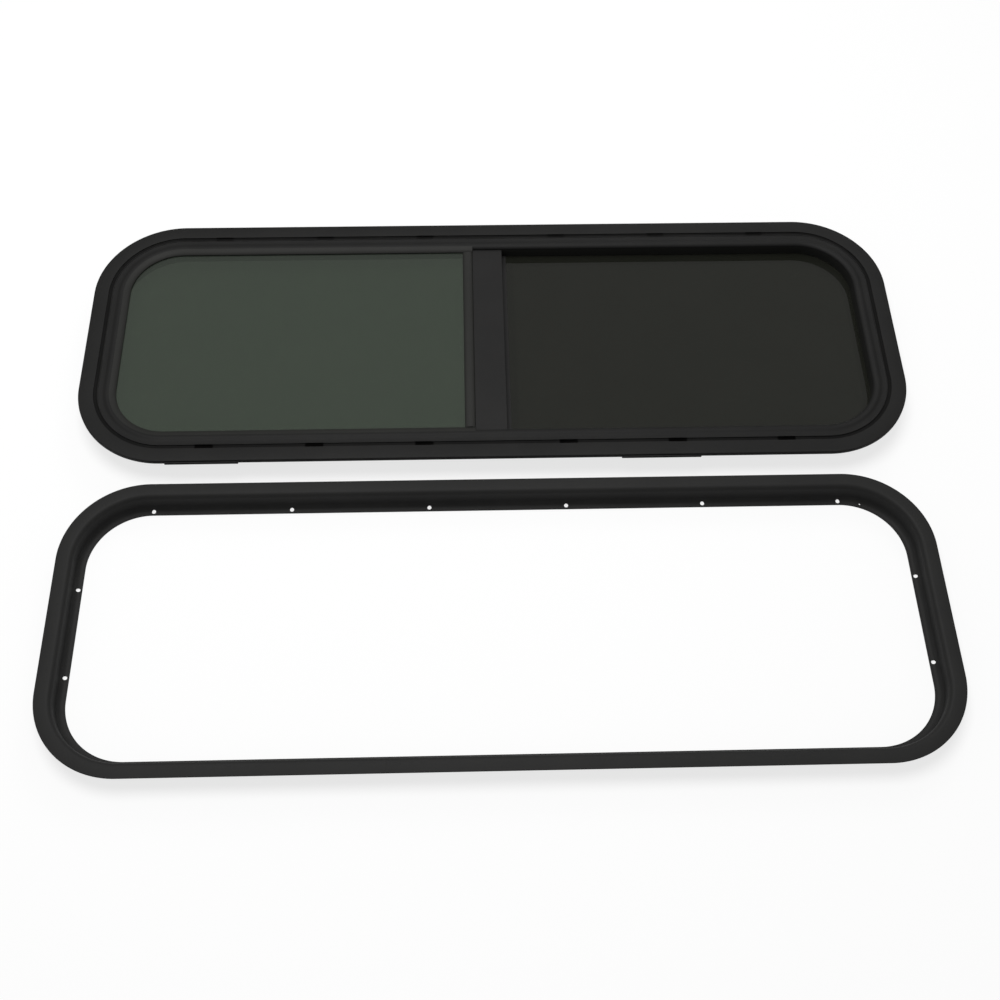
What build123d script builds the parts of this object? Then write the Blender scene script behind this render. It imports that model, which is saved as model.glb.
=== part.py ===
"""Sliding caravan window and its clamp ring.

The window lies on its inner side with the outside up, and the ring that clamps it from
indoors lies in front of it. X runs along the slide, Y towards the window's top edge and Z
out of the wall. The origin is on the floor, in the middle of the whole set.
"""

import os

from build123d import *

# Wall cut-out that the window and the ring are made for
CUTOUT_WIDTH = 914.4
CUTOUT_HEIGHT = 304.8
CUTOUT_RADIUS = 76.2

# Outer flange of the frame
FLANGE_OVERLAP = 19.05
FLANGE_RADIUS = 101.6
FLANGE_THICKNESS = 2.5
FLANGE_EDGE_RADIUS = 1.1
LIP_WIDTH = 2.5
LIP_DROP = 2.5

# Section of the frame, from its indoor face at height 0 to the flange's face
FRAME_DEPTH = 31.75
WALL_CLEARANCE = 1.55
WALL = 1.8
BOSS_WIDTH = 6.6
BOSS_HEIGHT = 8.4
SCREW_GROOVE_WIDTH = 2.6
SCREW_GROOVE_DEPTH = 6.0
WEB = 1.6
WEB_REACH = 11.6
SASH_CHANNEL = 7.6
GROOVE_WIDTH = 4.2
GROOVE_DEPTH = 1.3
RIB_WIDTH = 1.0
BAND_WIDTH = 4.6
BAND_DROP = 0.7
NOSE_WIDTH = 11.0
NOSE_THICKNESS = 4.3
NOSE_RISE = 0.25
NOSE_OUTER_ROUND = 0.8
NOSE_INNER_ROUND = 3.9

# Weep slots in the groove, along the bottom and the top of the frame
WEEP_PLACES = (81.0, 204.0, 327.0)
WEEP_LENGTH = 20.5
WEEP_WIDTH = 4.9
WEEP_DEPTH = 1.9

# Panes and what holds the fixed one
GLASS = 4.0
FIT = 0.1
GASKET_BACK = 2.0
GASKET_TOP = 0.6
GASKET_UNDER_WIDTH = 9.0
GASKET_LIP_WIDTH = 3.8
GASKET_LIP_RISE = 1.9
GASKET_LIP_ROUND = 1.2
FIXED_GLASS_FROM_WALL = 5.8

# Mullion between the panes, measured from the middle of the window
MULLION_LEFT = -23.0
MULLION_WIDTH = 35.7
MULLION_THICKNESS = 5.8
MULLION_WALL = 1.5
MULLION_END_FROM_WALL = 8.6
MULLION_BACK_LEG = 10.0
BEAD_WIDTH = 11.8
BEAD_RISE = 2.6
BEAD_ROUND = 2.2
BEAD_GLASS_COVER = 9.0
CLIP_WIDTH = 22.0
CLIP_LENGTH = 5.0
PILE_WIDTH = 5.0
PILE_FROM_RIGHT = 4.0

# Sash that slides behind the fixed pane
RUN_FIT = 0.3
SASH_TRAVEL = 345.0
SASH_GLASS_FROM_WALL = 7.1
LINER = 0.8
STILE_LEFT = -20.0
STILE_WIDTH = 38.0
STILE_WALL = 0.7
STILE_BASE = 1.8
STILE_END_FROM_WEB = 1.0
GLIDE_LENGTH = 30.0
GLIDE_WRAP = 4.0
GLIDE_END_MARGIN = 6.0
STOP_LENGTH = 6.0
STOP_MARGIN = 3.0
END_SEAL_MARGIN = 9.85
PULL_LENGTH = 80.0
PULL_WIDTH = 22.0
PULL_DEPTH = 6.6
PULL_SCOOP_LENGTH = 56.0
PULL_SCOOP_WIDTH = 11.0
PULL_SCOOP_DEPTH = 4.0
PULL_ROUND = 2.0

# Seal that closes the outer channel around the vent
VENT_SEAL_GAP = 0.4
VENT_SEAL_LIP = 2.6

# Insect screen on the indoor side of the vent
SCREEN_LEFT = 13.0
SCREEN_BAR_WIDTH = 14.0
SCREEN_BAR_HEIGHT = 5.8
SCREEN_CLEARANCE = 0.4
SCREEN_BOTTOM = 1.8
MESH_THICKNESS = 0.5
MESH_GRIP = 3.0

# Covers on the flange's lower edge, as left end and length
DRIP_COVERS = {"left": (-369.0, 81.5), "right": (139.7, 89.0)}
COVER_THICKNESS = 1.6
COVER_HEIGHT = 3.4

# Clamp ring, a bent Z section
RING_OVERLAP = 15.875
RING_DEPTH = 25.4
RING_SHEET = 1.2
RING_CLEARANCE = 0.4
RING_LEDGE_INSET = 25.8
RING_BEND = 1.7
RING_HOLE = 4.6
RING_HOLE_FROM_CUTOUT = 5.7
RING_HOLE_COLUMNS = (76.2, 228.6, 381.0)
RING_SIDE_HOLE_ROW = 50.8
RING_PIN_HOLE = 1.8
RING_PIN_ANGLE = 70.0

# How the ring lies in front of the window
CENTRE_DISTANCE = 365.0

# Sizes that follow
FLANGE_WIDTH = CUTOUT_WIDTH + 2 * FLANGE_OVERLAP
FLANGE_HEIGHT = CUTOUT_HEIGHT + 2 * FLANGE_OVERLAP
RING_WIDTH = CUTOUT_WIDTH + 2 * RING_OVERLAP
RING_HEIGHT = CUTOUT_HEIGHT + 2 * RING_OVERLAP
RING_RADIUS = CUTOUT_RADIUS + RING_OVERLAP
SET_DEPTH = RING_HEIGHT / 2 + CENTRE_DISTANCE + FLANGE_HEIGHT / 2
WINDOW_Y = SET_DEPTH / 2 - FLANGE_HEIGHT / 2
RING_Y = RING_HEIGHT / 2 - SET_DEPTH / 2

WALL_OUTER = FLANGE_OVERLAP + WALL_CLEARANCE
WALL_INNER = WALL_OUTER + WALL
BOSS_INNER = WALL_INNER + BOSS_WIDTH
WEB_INNER = WALL_INNER + WEB_REACH
SCREW_GROOVE_INSET = FLANGE_OVERLAP + RING_HOLE_FROM_CUTOUT - SCREW_GROOVE_WIDTH / 2
GROOVE_INSET = WALL_INNER - RIB_WIDTH - GROOVE_WIDTH
NOSE_INSET = WALL_INNER + BAND_WIDTH
NOSE_INNER = NOSE_INSET + NOSE_WIDTH
FIXED_GLASS_INSET = WALL_INNER + FIXED_GLASS_FROM_WALL
SASH_GLASS_INSET = WALL_INNER + SASH_GLASS_FROM_WALL
MULLION_END_INSET = WALL_INNER + MULLION_END_FROM_WALL
STILE_END_INSET = WEB_INNER + STILE_END_FROM_WEB

FLANGE_BOTTOM = FRAME_DEPTH - FLANGE_THICKNESS
BAND_TOP = FRAME_DEPTH - BAND_DROP
NOSE_TOP = FRAME_DEPTH + NOSE_RISE
NOSE_BOTTOM = NOSE_TOP - NOSE_THICKNESS
LOWER_WEB_TOP = BOSS_HEIGHT + WEB
UPPER_WEB_BOTTOM = LOWER_WEB_TOP + SASH_CHANNEL
UPPER_WEB_TOP = UPPER_WEB_BOTTOM + WEB

FIXED_GLASS_TOP = NOSE_BOTTOM - FIT - GASKET_TOP
FIXED_GLASS_BOTTOM = FIXED_GLASS_TOP - GLASS
SASH_GLASS_BOTTOM = LOWER_WEB_TOP + (SASH_CHANNEL - GLASS) / 2
SASH_GLASS_TOP = SASH_GLASS_BOTTOM + GLASS
GASKET_LIP_INSET = NOSE_INNER + RUN_FIT
GASKET_LIP_INNER = GASKET_LIP_INSET + GASKET_LIP_WIDTH

MULLION_RIGHT = MULLION_LEFT + MULLION_WIDTH
MULLION_TOP = NOSE_BOTTOM - 2 * FIT
MULLION_BOTTOM = MULLION_TOP - MULLION_THICKNESS
BEAD_LEFT = MULLION_LEFT - 2 * FIT - BEAD_WIDTH
FIXED_GLASS_RIGHT = BEAD_LEFT + BEAD_GLASS_COVER

STILE_BOTTOM = SASH_GLASS_BOTTOM - FIT - STILE_WALL
STILE_TOP = SASH_GLASS_TOP + FIT + STILE_WALL
SASH_GLASS_LEFT = STILE_LEFT + STILE_BASE + FIT
LINER_BOTTOM = LOWER_WEB_TOP + FIT
LINER_TOP = UPPER_WEB_BOTTOM - FIT
LINER_BACK = WALL_INNER + FIT
LINER_INNER = LINER_BACK + LINER
STRAIGHT_HALF = FLANGE_WIDTH / 2 - FLANGE_RADIUS
END_SEAL_LENGTH = FLANGE_HEIGHT - 2 * (FLANGE_RADIUS + END_SEAL_MARGIN)


def window_plane(height):
    """The window's own level plane at a height above the floor."""
    return Plane((0, WINDOW_Y, height))


def ring_plane(height):
    """The clamp ring's own level plane at a height above the floor."""
    return Plane((0, RING_Y, height))


def frame_outline(inset):
    """Width, height and corner radius of the frame's outline at an inset from its edge."""
    return FLANGE_WIDTH - 2 * inset, FLANGE_HEIGHT - 2 * inset, FLANGE_RADIUS - inset


def ring_outline(inset):
    """Width, height and corner radius of the ring's outline at an inset from its edge."""
    return RING_WIDTH - 2 * inset, RING_HEIGHT - 2 * inset, RING_RADIUS - inset


def loop_band(height, outer, inner):
    """A closed band of the frame between two insets."""
    with BuildSketch(window_plane(height)) as made:
        RectangleRounded(*frame_outline(outer))
        RectangleRounded(*frame_outline(inner), mode=Mode.SUBTRACT)
    return made.sketch


def open_band(height, outer, inner, left, right):
    """The stretch of a band of the frame from one X to another."""
    with BuildSketch(window_plane(height)) as made:
        RectangleRounded(*frame_outline(outer))
        RectangleRounded(*frame_outline(inner), mode=Mode.SUBTRACT)
        with Locations(((left + right) / 2, 0)):
            Rectangle(right - left, FLANGE_HEIGHT, mode=Mode.INTERSECT)
    return made.sketch


def pane(height, inset, left, right):
    """The frame's outline at an inset, cut square at one X and another."""
    with BuildSketch(window_plane(height)) as made:
        RectangleRounded(*frame_outline(inset))
        with Locations(((left + right) / 2, 0)):
            Rectangle(right - left, FLANGE_HEIGHT, mode=Mode.INTERSECT)
    return made.sketch


def block(height, left, right, front, back):
    """A level rectangle on the window, from its X and Y limits."""
    with BuildSketch(window_plane(height)) as made:
        with Locations(((left + right) / 2, (front + back) / 2)):
            Rectangle(right - left, back - front)
    return made.sketch


def ring_band(height, outer, inner):
    """A closed band of the clamp ring between two insets."""
    with BuildSketch(ring_plane(height)) as made:
        RectangleRounded(*ring_outline(outer))
        RectangleRounded(*ring_outline(inner), mode=Mode.SUBTRACT)
    return made.sketch


def on_outline(edge, outline, centre_y, height):
    """Whether the middle of an edge lies on a rounded outline at a height."""
    width, depth, radius = outline
    middle = edge.position_at(0.5)
    over_x = max(abs(middle.X) - (width / 2 - radius), 0)
    over_y = max(abs(middle.Y - centre_y) - (depth / 2 - radius), 0)
    off_outline = abs(Vector(over_x, over_y).length - radius)
    return off_outline < 0.01 and abs(middle.Z - height) < 0.01


def frame_edges(made, inset, height):
    """The edges of a piece of the window that follow its outline at an inset and a height."""
    outline = frame_outline(inset)
    return made.edges().filter_by(lambda edge: on_outline(edge, outline, WINDOW_Y, height))


def ring_edges(made, inset, height):
    """The edges of the clamp ring that follow its outline at an inset and a height."""
    outline = ring_outline(inset)
    return made.edges().filter_by(lambda edge: on_outline(edge, outline, RING_Y, height))


def from_edge(inset):
    """The distance from the window's middle to an inset of its long sides."""
    return FLANGE_HEIGHT / 2 - inset


def both_sides(columns, row):
    """Points at each column left and right of the middle, in a row in front and one behind."""
    return [(side * x, end * row) for x in columns for side in (-1, 1) for end in (-1, 1)]


def save(made, name):
    """Writes one finished piece under its name."""
    made.part.label = name
    export_step(made.part, f"parts/{name}.step")


os.makedirs("parts", exist_ok=True)

# Frame: one bent aluminium extrusion
with BuildPart() as outer_frame:
    extrude(loop_band(FLANGE_BOTTOM, 0, WALL_INNER), amount=FLANGE_THICKNESS)
    extrude(loop_band(FLANGE_BOTTOM - LIP_DROP, 0, LIP_WIDTH), amount=LIP_DROP)
    extrude(loop_band(0, WALL_OUTER, WALL_INNER), amount=FLANGE_BOTTOM)
    extrude(loop_band(0, WALL_INNER, BOSS_INNER), amount=BOSS_HEIGHT)
    extrude(loop_band(BOSS_HEIGHT, WALL_INNER, WEB_INNER), amount=WEB)
    extrude(loop_band(UPPER_WEB_BOTTOM, WALL_INNER, WEB_INNER), amount=WEB)
    extrude(loop_band(FLANGE_BOTTOM, WALL_INNER, NOSE_INSET), amount=BAND_TOP - FLANGE_BOTTOM)
    extrude(loop_band(NOSE_BOTTOM, NOSE_INSET, NOSE_INNER), amount=NOSE_THICKNESS)
    screw_groove = loop_band(0, SCREW_GROOVE_INSET, SCREW_GROOVE_INSET + SCREW_GROOVE_WIDTH)
    extrude(screw_groove, amount=SCREW_GROOVE_DEPTH, mode=Mode.SUBTRACT)
    drain_groove = loop_band(FRAME_DEPTH, GROOVE_INSET, GROOVE_INSET + GROOVE_WIDTH)
    extrude(drain_groove, amount=-GROOVE_DEPTH, mode=Mode.SUBTRACT)
    fillet(frame_edges(outer_frame, 0, FRAME_DEPTH), FLANGE_EDGE_RADIUS)
    fillet(frame_edges(outer_frame, NOSE_INSET, NOSE_TOP), NOSE_OUTER_ROUND)
    fillet(frame_edges(outer_frame, NOSE_INNER, NOSE_TOP), NOSE_INNER_ROUND)
    weep_row = from_edge(GROOVE_INSET + GROOVE_WIDTH / 2)
    with BuildSketch(window_plane(FRAME_DEPTH)):
        with Locations(both_sides(WEEP_PLACES, weep_row)):
            Rectangle(WEEP_LENGTH, WEEP_WIDTH)
    extrude(amount=-WEEP_DEPTH, mode=Mode.SUBTRACT)
save(outer_frame, "outer_frame")

# Fixed pane and the rubber gasket around three of its sides
pane_left = -FLANGE_WIDTH / 2
with BuildPart() as fixed_glass:
    glass_outline = pane(FIXED_GLASS_BOTTOM, FIXED_GLASS_INSET, pane_left, FIXED_GLASS_RIGHT)
    extrude(glass_outline, amount=GLASS)
save(fixed_glass, "fixed_glass")

gasket_right = MULLION_LEFT - 2 * FIT
gasket_back = FIXED_GLASS_INSET - FIT
gasket_outer = gasket_back - GASKET_BACK
gasket_bottom = UPPER_WEB_TOP + FIT
gasket_under_top = FIXED_GLASS_BOTTOM - FIT
gasket_over = FIXED_GLASS_TOP + FIT / 2
gasket_top = NOSE_BOTTOM - FIT / 2
with BuildPart() as fixed_glass_gasket:
    back = open_band(gasket_bottom, gasket_outer, gasket_back, pane_left, gasket_right)
    extrude(back, amount=gasket_top - gasket_bottom)
    under_inner = gasket_back + GASKET_UNDER_WIDTH
    under = open_band(gasket_bottom, gasket_back, under_inner, pane_left, gasket_right)
    extrude(under, amount=gasket_under_top - gasket_bottom)
    over = open_band(gasket_over, gasket_back, GASKET_LIP_INNER, pane_left, gasket_right)
    extrude(over, amount=gasket_top - gasket_over)
    lip = open_band(gasket_top, GASKET_LIP_INSET, GASKET_LIP_INNER, pane_left, gasket_right)
    extrude(lip, amount=GASKET_LIP_RISE)
    lip_top = gasket_top + GASKET_LIP_RISE
    fillet(frame_edges(fixed_glass_gasket, GASKET_LIP_INNER, lip_top), GASKET_LIP_ROUND)
save(fixed_glass_gasket, "fixed_glass_gasket")

# Mullion: a flat tube with a leg behind the fixed pane, its clips, bead and pile
mullion_end = from_edge(MULLION_END_INSET)
tube_left = MULLION_LEFT + MULLION_WALL
tube_right = MULLION_RIGHT - MULLION_WALL
with BuildPart() as mullion:
    tube = block(MULLION_BOTTOM, MULLION_LEFT, MULLION_RIGHT, -mullion_end, mullion_end)
    extrude(tube, amount=MULLION_THICKNESS)
    hollow = block(MULLION_BOTTOM + MULLION_WALL, tube_left, tube_right, -mullion_end, mullion_end)
    extrude(hollow, amount=MULLION_THICKNESS - 2 * MULLION_WALL, mode=Mode.SUBTRACT)
    leg_left = MULLION_LEFT - MULLION_BACK_LEG
    leg_end = from_edge(gasket_back + GASKET_UNDER_WIDTH + RUN_FIT)
    leg = block(MULLION_BOTTOM, leg_left, MULLION_LEFT, -leg_end, leg_end)
    extrude(leg, amount=FIXED_GLASS_BOTTOM - FIT - MULLION_BOTTOM)
save(mullion, "mullion")

bead_end = from_edge(GASKET_LIP_INNER + FIT)
with BuildPart() as mullion_bead:
    bead_right = BEAD_LEFT + BEAD_WIDTH
    bead = block(FIXED_GLASS_TOP + FIT / 2, BEAD_LEFT, bead_right, -bead_end, bead_end)
    extrude(bead, amount=BEAD_RISE)
    crest = mullion_bead.faces().sort_by(Axis.Z)[-1].edges().filter_by(Axis.Y)
    fillet(crest, BEAD_ROUND)
save(mullion_bead, "mullion_bead")

for side, name in ((1, "mullion_clip_upper"), (-1, "mullion_clip_lower")):
    with BuildPart() as mullion_clip:
        clip_middle = (MULLION_LEFT + MULLION_RIGHT) / 2
        clip_near = side * from_edge(WEB_INNER)
        clip_far = side * from_edge(WEB_INNER - CLIP_LENGTH)
        clip_limits = sorted((clip_near, clip_far))
        clip_left = clip_middle - CLIP_WIDTH / 2
        clip = block(UPPER_WEB_TOP, clip_left, clip_left + CLIP_WIDTH, *clip_limits)
        extrude(clip, amount=MULLION_BOTTOM - UPPER_WEB_TOP)
    save(mullion_clip, name)

stile_end = from_edge(STILE_END_INSET)
with BuildPart() as mullion_pile:
    pile_right = MULLION_RIGHT - PILE_FROM_RIGHT
    pile_bottom = STILE_TOP + RUN_FIT
    pile = block(pile_bottom, pile_right - PILE_WIDTH, pile_right, -stile_end, stile_end)
    extrude(pile, amount=MULLION_BOTTOM - pile_bottom)
save(mullion_pile, "mullion_pile")

# Sash channel: plastic liners along the straight sides, stops at the far end and an end seal
for side, name in ((1, "sash_track_upper"), (-1, "sash_track_lower")):
    with BuildPart() as sash_track:
        track_limits = sorted((side * from_edge(LINER_BACK), side * from_edge(WEB_INNER)))
        track = block(LINER_BOTTOM, -STRAIGHT_HALF, STRAIGHT_HALF, *track_limits)
        extrude(track, amount=LINER_TOP - LINER_BOTTOM)
        run_limits = sorted((side * from_edge(LINER_INNER), side * from_edge(WEB_INNER)))
        run = block(LINER_BOTTOM + LINER, -STRAIGHT_HALF, STRAIGHT_HALF, *run_limits)
        extrude(run, amount=LINER_TOP - LINER_BOTTOM - 2 * LINER, mode=Mode.SUBTRACT)
    save(sash_track, name)

run_bottom = LINER_BOTTOM + LINER + RUN_FIT
run_top = LINER_TOP - LINER - RUN_FIT
stop_right = SASH_GLASS_LEFT - SASH_TRAVEL - STOP_MARGIN
for side, name in ((1, "sash_stop_upper"), (-1, "sash_stop_lower")):
    with BuildPart() as sash_stop:
        stop_limits = sorted((side * from_edge(LINER_INNER + RUN_FIT), side * from_edge(WEB_INNER)))
        stop = block(run_bottom, stop_right - STOP_LENGTH, stop_right, *stop_limits)
        extrude(stop, amount=run_top - run_bottom)
    save(sash_stop, name)

with BuildPart() as sash_end_seal:
    seal_left = FLANGE_WIDTH / 2 - SASH_GLASS_INSET + RUN_FIT
    seal_right = FLANGE_WIDTH / 2 - WALL_INNER - FIT
    seal = block(run_bottom, seal_left, seal_right, -END_SEAL_LENGTH / 2, END_SEAL_LENGTH / 2)
    extrude(seal, amount=run_top - run_bottom)
save(sash_end_seal, "sash_end_seal")

# Seal around the vent: it fills the outer channel, and its lip reaches down to the sash pane
vent_left = MULLION_RIGHT + 2 * FIT
vent_right = FLANGE_WIDTH / 2
with BuildPart() as vent_seal:
    seal_bottom = UPPER_WEB_TOP + FIT
    fill = open_band(seal_bottom, gasket_outer, NOSE_INNER, vent_left, vent_right)
    extrude(fill, amount=NOSE_BOTTOM - FIT - seal_bottom)
    wiper_bottom = SASH_GLASS_TOP + VENT_SEAL_GAP
    wiper_outer = NOSE_INNER - VENT_SEAL_LIP
    wiper_left = STILE_LEFT + STILE_WIDTH + RUN_FIT
    wiper = open_band(wiper_bottom, wiper_outer, NOSE_INNER, wiper_left, vent_right)
    extrude(wiper, amount=seal_bottom - wiper_bottom)
save(vent_seal, "vent_seal")

# Insect screen: a rolled frame with the mesh gripped in its groove
screen_outer = BOSS_INNER + SCREEN_CLEARANCE
screen_inner = screen_outer + SCREEN_BAR_WIDTH
mesh_bottom = SCREEN_BOTTOM + (SCREEN_BAR_HEIGHT - MESH_THICKNESS) / 2
mesh_left = SCREEN_LEFT + SCREEN_BAR_WIDTH - MESH_GRIP
with BuildPart() as screen_frame:
    extrude(pane(SCREEN_BOTTOM, screen_outer, SCREEN_LEFT, vent_right), amount=SCREEN_BAR_HEIGHT)
    window_hole = pane(SCREEN_BOTTOM, screen_inner, SCREEN_LEFT + SCREEN_BAR_WIDTH, vent_right)
    extrude(window_hole, amount=SCREEN_BAR_HEIGHT, mode=Mode.SUBTRACT)
    grip = pane(mesh_bottom - FIT, screen_inner - MESH_GRIP - FIT, mesh_left - FIT, vent_right)
    extrude(grip, amount=MESH_THICKNESS + 2 * FIT, mode=Mode.SUBTRACT)
save(screen_frame, "screen_frame")

with BuildPart() as screen_mesh:
    mesh_outline = pane(mesh_bottom, screen_inner - MESH_GRIP, mesh_left, vent_right)
    extrude(mesh_outline, amount=MESH_THICKNESS)
save(screen_mesh, "screen_mesh")

# Covers on the lower edge of the flange
for name, (cover_left, cover_length) in DRIP_COVERS.items():
    with BuildPart() as drip_cover:
        cover_back = -FLANGE_HEIGHT / 2 - FIT / 2
        cover_bottom = FLANGE_BOTTOM - LIP_DROP
        cover_limits = (cover_back - COVER_THICKNESS, cover_back)
        cover = block(cover_bottom, cover_left, cover_left + cover_length, *cover_limits)
        extrude(cover, amount=COVER_HEIGHT)
    save(drip_cover, f"drip_cover_{name}")

# Sash: a pane with a thin stile, glides on its edges and a pull on its indoor side
with BuildPart() as sash_glass:
    sash_outline = pane(SASH_GLASS_BOTTOM, SASH_GLASS_INSET, SASH_GLASS_LEFT, vent_right)
    extrude(sash_outline, amount=GLASS)
save(sash_glass, "sash_glass")

stile_right = STILE_LEFT + STILE_WIDTH
with BuildPart() as sash_stile:
    stile = block(STILE_BOTTOM, STILE_LEFT, stile_right, -stile_end, stile_end)
    extrude(stile, amount=STILE_TOP - STILE_BOTTOM)
    mouth = block(SASH_GLASS_BOTTOM - FIT, STILE_LEFT + STILE_BASE, stile_right, -stile_end, stile_end)
    extrude(mouth, amount=GLASS + 2 * FIT, mode=Mode.SUBTRACT)
save(sash_stile, "sash_stile")

glide_lefts = {
    "left": SASH_GLASS_LEFT + GLIDE_END_MARGIN,
    "right": STRAIGHT_HALF - GLIDE_END_MARGIN - GLIDE_LENGTH,
}
for side, level in ((1, "upper"), (-1, "lower")):
    for end, glide_left in glide_lefts.items():
        with BuildPart() as sash_glide:
            glide_inner = SASH_GLASS_INSET + GLIDE_WRAP
            glide_limits = sorted((side * from_edge(LINER_INNER + RUN_FIT), side * from_edge(glide_inner)))
            glide = block(run_bottom, glide_left, glide_left + GLIDE_LENGTH, *glide_limits)
            extrude(glide, amount=run_top - run_bottom)
            slot_limits = sorted((side * from_edge(SASH_GLASS_INSET - FIT), side * from_edge(glide_inner)))
            slot = block(SASH_GLASS_BOTTOM - FIT, glide_left, glide_left + GLIDE_LENGTH, *slot_limits)
            extrude(slot, amount=GLASS + 2 * FIT, mode=Mode.SUBTRACT)
        save(sash_glide, f"sash_glide_{level}_{end}")

with BuildPart() as sash_pull:
    pull_left = STILE_LEFT + (STILE_WIDTH - PULL_WIDTH) / 2
    pull_middle = pull_left + PULL_WIDTH / 2
    pull_top = STILE_BOTTOM - FIT / 2
    pull = block(pull_top, pull_left, pull_left + PULL_WIDTH, -PULL_LENGTH / 2, PULL_LENGTH / 2)
    extrude(pull, amount=-PULL_DEPTH)
    pull_corners = sash_pull.edges().filter_by(Axis.Z)
    fillet(pull_corners, PULL_ROUND)
    scoop_left = pull_middle - PULL_SCOOP_WIDTH / 2
    scoop_limits = (-PULL_SCOOP_LENGTH / 2, PULL_SCOOP_LENGTH / 2)
    scoop = block(pull_top - PULL_DEPTH, scoop_left, scoop_left + PULL_SCOOP_WIDTH, *scoop_limits)
    extrude(scoop, amount=PULL_SCOOP_DEPTH, mode=Mode.SUBTRACT)
save(sash_pull, "sash_pull")

# Clamp ring: flange, wall and screw ledge bent from one strip
ring_wall_outer = RING_OVERLAP + RING_CLEARANCE
ring_wall_inner = ring_wall_outer + RING_SHEET
ring_hole_inset = RING_OVERLAP + RING_HOLE_FROM_CUTOUT
with BuildPart() as trim_ring:
    extrude(ring_band(RING_DEPTH - RING_SHEET, 0, ring_wall_inner), amount=RING_SHEET)
    extrude(ring_band(0, ring_wall_outer, ring_wall_inner), amount=RING_DEPTH)
    extrude(ring_band(0, ring_wall_outer, RING_LEDGE_INSET), amount=RING_SHEET)
    fillet(ring_edges(trim_ring, ring_wall_outer, RING_DEPTH - RING_SHEET), RING_BEND)
    fillet(ring_edges(trim_ring, ring_wall_inner, RING_DEPTH), RING_BEND + RING_SHEET)
    fillet(ring_edges(trim_ring, ring_wall_inner, RING_SHEET), RING_BEND)
    fillet(ring_edges(trim_ring, ring_wall_outer, 0), RING_BEND + RING_SHEET)
    hole_row = RING_HEIGHT / 2 - ring_hole_inset
    hole_column = RING_WIDTH / 2 - ring_hole_inset
    long_sides = both_sides(RING_HOLE_COLUMNS, hole_row)
    short_sides = both_sides((hole_column,), RING_SIDE_HOLE_ROW)
    with Locations(ring_plane(RING_SHEET)):
        with Locations(long_sides + short_sides):
            Hole(RING_HOLE / 2, depth=RING_SHEET)
        with Locations((RING_WIDTH / 2 - RING_RADIUS, RING_HEIGHT / 2 - RING_RADIUS)):
            with PolarLocations(RING_RADIUS - ring_hole_inset, 1, start_angle=RING_PIN_ANGLE):
                Hole(RING_PIN_HOLE / 2, depth=RING_SHEET)
save(trim_ring, "trim_ring")
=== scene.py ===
"""Looks of a sliding caravan window and the clamp ring that lies in front of it.

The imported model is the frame. The pieces below are drawn around it at the same size and
place, in metres: long sections swept round the window's outline, with their finishes.
"""

import math
import random
from collections import namedtuple

import bmesh
import bpy
from bpy.props import FloatProperty, FloatVectorProperty, PointerProperty
from mathutils import Matrix, Vector


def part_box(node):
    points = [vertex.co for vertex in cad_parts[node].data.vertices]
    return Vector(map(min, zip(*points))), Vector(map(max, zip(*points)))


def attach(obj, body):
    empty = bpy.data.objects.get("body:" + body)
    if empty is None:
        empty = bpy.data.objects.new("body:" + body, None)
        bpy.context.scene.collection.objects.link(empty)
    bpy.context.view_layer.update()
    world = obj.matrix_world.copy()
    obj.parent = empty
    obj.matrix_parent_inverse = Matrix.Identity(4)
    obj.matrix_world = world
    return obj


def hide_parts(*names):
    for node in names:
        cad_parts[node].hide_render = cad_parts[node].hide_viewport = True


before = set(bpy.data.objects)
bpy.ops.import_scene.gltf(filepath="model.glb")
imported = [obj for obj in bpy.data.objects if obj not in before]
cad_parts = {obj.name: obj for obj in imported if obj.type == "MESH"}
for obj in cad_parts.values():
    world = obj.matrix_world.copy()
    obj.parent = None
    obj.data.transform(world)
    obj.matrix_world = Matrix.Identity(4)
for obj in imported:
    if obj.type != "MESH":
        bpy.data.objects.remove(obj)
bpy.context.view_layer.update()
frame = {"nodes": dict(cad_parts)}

bl_info = {
    "name": "Sliding Window Looks",
    "version": (1, 0, 0),
    "blender": (4, 5, 0),
    "location": "View3D > Sidebar > Window",
    "description": "Draws the pieces and finishes of a sliding window and its clamp ring",
    "category": "Object",
}

MM = 0.001

# Camera of the photograph: image width in pixels, focal length in those pixels, place and turns
IMAGE_SIZE = 1000
FOCAL_PIXELS = 1348.1
SENSOR_WIDTH_MM = 36.0
CAMERA_PLACE = (-0.0338, -0.8029, 1.2939)
CAMERA_PITCH = math.radians(59.057)
CAMERA_ROLL = math.radians(1.431)
CAMERA_YAW = math.radians(-2.694)

# Steps along round corners of the window's outline, and the smallest distance between points
CORNER_STEPS = 40
TINY = 1e-6

# Share of a pane that is clear; the rest is the film on it
PANE_CLEARNESS = 0.75

Outline = namedtuple("Outline", "width height radius middle")
Station = namedtuple("Station", "edge inwards kind")


def box_size(node):
    """Width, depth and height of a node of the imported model."""
    low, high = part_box(node)
    return high - low


FRAME_LOW, FRAME_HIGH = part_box("outer_frame")
RING_LOW, RING_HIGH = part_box("trim_ring")
FRAME_SPAN = box_size("outer_frame")
RING_SPAN = box_size("trim_ring")
FLANGE_RADIUS = 101.6 * MM
RING_RADIUS = 92.075 * MM
WINDOW_OUTLINE = Outline(FRAME_SPAN.x, FRAME_SPAN.y, FLANGE_RADIUS, (FRAME_LOW.y + FRAME_HIGH.y) / 2)
RING_OUTLINE = Outline(RING_SPAN.x, RING_SPAN.y, RING_RADIUS, (RING_LOW.y + RING_HIGH.y) / 2)


# Settings that a user would change


def length(name, description, millimetres):
    """A size in metres, given in millimetres."""
    return FloatProperty(
        name=name, description=description, default=millimetres * MM, precision=5, unit="LENGTH"
    )


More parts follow.
